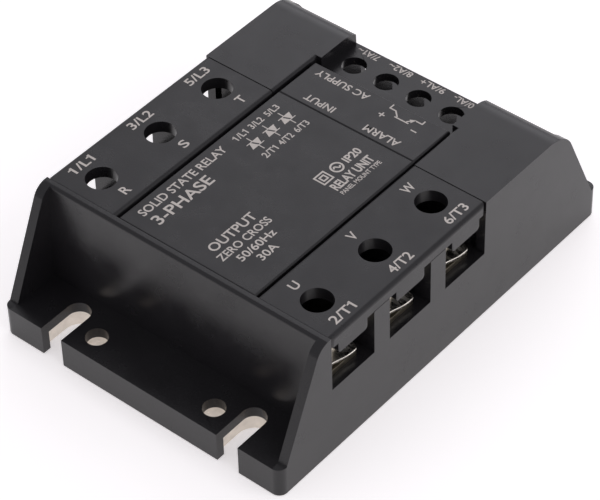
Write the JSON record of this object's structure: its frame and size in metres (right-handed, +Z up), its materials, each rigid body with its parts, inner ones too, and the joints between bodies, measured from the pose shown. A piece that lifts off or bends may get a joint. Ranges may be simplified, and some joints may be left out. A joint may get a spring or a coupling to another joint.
{
  "type": "solid state relay",
  "caption": "Slim three-phase solid state relay: flanged moulded case on a metal plate, hinged terminal covers, screw terminals.",
  "frame": {"origin": "middle of the underside of the base plate, the face that lies on the heat sink", "axes": "+Z up out of the heat sink; +X from the line terminals to the load terminals; +Y from the plain flange to the control terminals"},
  "size_m": [0.074, 0.105, 0.0315],
  "materials": {
    "case_plastic": "fine moulded texture",
    "panel_plastic": null,
    "cover_plastic": "fine moulded texture",
    "plate_metal": "nickel plated, satin",
    "fastener_metal": "bright nickel plating",
    "bar_metal": "tinned brass",
    "board": "solder resist",
    "insulator": "matte",
    "module_resin": "moulded epoxy",
    "component_resin": "moulded epoxy",
    "capacitor_film": "dipped film capacitor",
    "varistor_coat": "epoxy dipped disc",
    "capacitor_sleeve": "shrink sleeve"
  },
  "bodies": {
    "housing": {"alarm_transistor": "component_resin", "base_plate": "plate_metal", "case": "case_plastic", "case_screws": "fastener_metal", "centre_panel": "panel_plastic", "circuit_board": "board", "control_terminal_1": "bar_metal", "control_terminal_2": "bar_metal", "control_terminal_3": "bar_metal", "control_terminal_4": "bar_metal", "input_capacitors": "capacitor_sleeve", "insulating_pads": "insulator", "line_nuts": "fastener_metal", "line_terminal_1": "bar_metal", "line_terminal_2": "bar_metal", "line_terminal_3": "bar_metal", "load_nuts": "fastener_metal", "load_terminal_1": "bar_metal", "load_terminal_2": "bar_metal", "load_terminal_3": "bar_metal", "optocouplers": "component_resin", "power_module_1": "module_resin", "power_module_2": "module_resin", "power_module_3": "module_resin", "rectifier_bridge": "component_resin", "snubber_capacitors": "capacitor_film", "snubber_resistors": "component_resin", "varistors": "varistor_coat"},
    "line_cover": {"line_cover": "cover_plastic"},
    "load_cover": {"load_cover": "cover_plastic"},
    "line_clamp_1": {"line_clamp_1": "fastener_metal"},
    "line_screw_1": {"line_screw_1": "fastener_metal"},
    "line_clamp_2": {"line_clamp_2": "fastener_metal"},
    "line_screw_2": {"line_screw_2": "fastener_metal"},
    "line_clamp_3": {"line_clamp_3": "fastener_metal"},
    "line_screw_3": {"line_screw_3": "fastener_metal"},
    "load_clamp_1": {"load_clamp_1": "fastener_metal"},
    "load_screw_1": {"load_screw_1": "fastener_metal"},
    "load_clamp_2": {"load_clamp_2": "fastener_metal"},
    "load_screw_2": {"load_screw_2": "fastener_metal"},
    "load_clamp_3": {"load_clamp_3": "fastener_metal"},
    "load_screw_3": {"load_screw_3": "fastener_metal"},
    "control_clamp_1": {"control_clamp_1": "fastener_metal"},
    "control_screw_1": {"control_screw_1": "fastener_metal"},
    "control_clamp_2": {"control_clamp_2": "fastener_metal"},
    "control_screw_2": {"control_screw_2": "fastener_metal"},
    "control_clamp_3": {"control_clamp_3": "fastener_metal"},
    "control_screw_3": {"control_screw_3": "fastener_metal"},
    "control_clamp_4": {"control_clamp_4": "fastener_metal"},
    "control_screw_4": {"control_screw_4": "fastener_metal"}
  },
  "joints": [
    {"name": "line_cover_hinge", "type": "hinge", "parent": "housing", "child": "line_cover", "pos_m": [-0.0204, -0.012, 0.0294], "axis": [0, 1, 0], "range_deg": [0, 95]},
    {"name": "load_cover_hinge", "type": "hinge", "parent": "housing", "child": "load_cover", "pos_m": [0.0204, -0.012, 0.0294], "axis": [0, -1, 0], "range_deg": [0, 95]},
    {"name": "line_clamp_1_lift", "type": "slide", "parent": "housing", "child": "line_clamp_1", "axis": [0, 0, 1], "range_m": [0, 0.0028]},
    {"name": "line_screw_1_turn", "type": "hinge", "parent": "line_clamp_1", "child": "line_screw_1", "pos_m": [-0.0282, -0.0298, 0.02], "axis": [0, 0, 1], "range_deg": [0, 1442]},
    {"name": "line_clamp_2_lift", "type": "slide", "parent": "housing", "child": "line_clamp_2", "axis": [0, 0, 1], "range_m": [0, 0.0028]},
    {"name": "line_screw_2_turn", "type": "hinge", "parent": "line_clamp_2", "child": "line_screw_2", "pos_m": [-0.0282, -0.012, 0.02], "axis": [0, 0, 1], "range_deg": [0, 1442]},
    {"name": "line_clamp_3_lift", "type": "slide", "parent": "housing", "child": "line_clamp_3", "axis": [0, 0, 1], "range_m": [0, 0.0028]},
    {"name": "line_screw_3_turn", "type": "hinge", "parent": "line_clamp_3", "child": "line_screw_3", "pos_m": [-0.0282, 0.0058, 0.02], "axis": [0, 0, 1], "range_deg": [0, 1442]},
    {"name": "load_clamp_1_lift", "type": "slide", "parent": "housing", "child": "load_clamp_1", "axis": [0, 0, 1], "range_m": [0, 0.0028]},
    {"name": "load_screw_1_turn", "type": "hinge", "parent": "load_clamp_1", "child": "load_screw_1", "pos_m": [0.0282, -0.0298, 0.02], "axis": [0, 0, 1], "range_deg": [0, 1442]},
    {"name": "load_clamp_2_lift", "type": "slide", "parent": "housing", "child": "load_clamp_2", "axis": [0, 0, 1], "range_m": [0, 0.0028]},
    {"name": "load_screw_2_turn", "type": "hinge", "parent": "load_clamp_2", "child": "load_screw_2", "pos_m": [0.0282, -0.012, 0.02], "axis": [0, 0, 1], "range_deg": [0, 1442]},
    {"name": "load_clamp_3_lift", "type": "slide", "parent": "housing", "child": "load_clamp_3", "axis": [0, 0, 1], "range_m": [0, 0.0028]},
    {"name": "load_screw_3_turn", "type": "hinge", "parent": "load_clamp_3", "child": "load_screw_3", "pos_m": [0.0282, 0.0058, 0.02], "axis": [0, 0, 1], "range_deg": [0, 1442]},
    {"name": "control_clamp_1_lift", "type": "slide", "parent": "housing", "child": "control_clamp_1", "axis": [0, 0, 1], "range_m": [0, 0.002]},
    {"name": "control_screw_1_turn", "type": "hinge", "parent": "control_clamp_1", "child": "control_screw_1", "pos_m": [-0.01298, 0.0324, 0.02], "axis": [0, 0, 1], "range_deg": [0, 1442]},
    {"name": "control_clamp_2_lift", "type": "slide", "parent": "housing", "child": "control_clamp_2", "axis": [0, 0, 1], "range_m": [0, 0.002]},
    {"name": "control_screw_2_turn", "type": "hinge", "parent": "control_clamp_2", "child": "control_screw_2", "pos_m": [-0.00432, 0.0324, 0.02], "axis": [0, 0, 1], "range_deg": [0, 1442]},
    {"name": "control_clamp_3_lift", "type": "slide", "parent": "housing", "child": "control_clamp_3", "axis": [0, 0, 1], "range_m": [0, 0.002]},
    {"name": "control_screw_3_turn", "type": "hinge", "parent": "control_clamp_3", "child": "control_screw_3", "pos_m": [0.00432, 0.0324, 0.02], "axis": [0, 0, 1], "range_deg": [0, 1442]},
    {"name": "control_clamp_4_lift", "type": "slide", "parent": "housing", "child": "control_clamp_4", "axis": [0, 0, 1], "range_m": [0, 0.002]},
    {"name": "control_screw_4_turn", "type": "hinge", "parent": "control_clamp_4", "child": "control_screw_4", "pos_m": [0.01298, 0.0324, 0.02], "axis": [0, 0, 1], "range_deg": [0, 1442]}
  ],
  "couplings": [
    {"joint": "line_screw_1_turn", "follows": "line_clamp_1_lift", "rad_per_m": 8976},
    {"joint": "line_screw_2_turn", "follows": "line_clamp_2_lift", "rad_per_m": 8976},
    {"joint": "line_screw_3_turn", "follows": "line_clamp_3_lift", "rad_per_m": 8976},
    {"joint": "load_screw_1_turn", "follows": "load_clamp_1_lift", "rad_per_m": 8976},
    {"joint": "load_screw_2_turn", "follows": "load_clamp_2_lift", "rad_per_m": 8976},
    {"joint": "load_screw_3_turn", "follows": "load_clamp_3_lift", "rad_per_m": 8976},
    {"joint": "control_screw_1_turn", "follows": "control_clamp_1_lift", "rad_per_m": 12566},
    {"joint": "control_screw_2_turn", "follows": "control_clamp_2_lift", "rad_per_m": 12566},
    {"joint": "control_screw_3_turn", "follows": "control_clamp_3_lift", "rad_per_m": 12566},
    {"joint": "control_screw_4_turn", "follows": "control_clamp_4_lift", "rad_per_m": 12566}
  ]
}
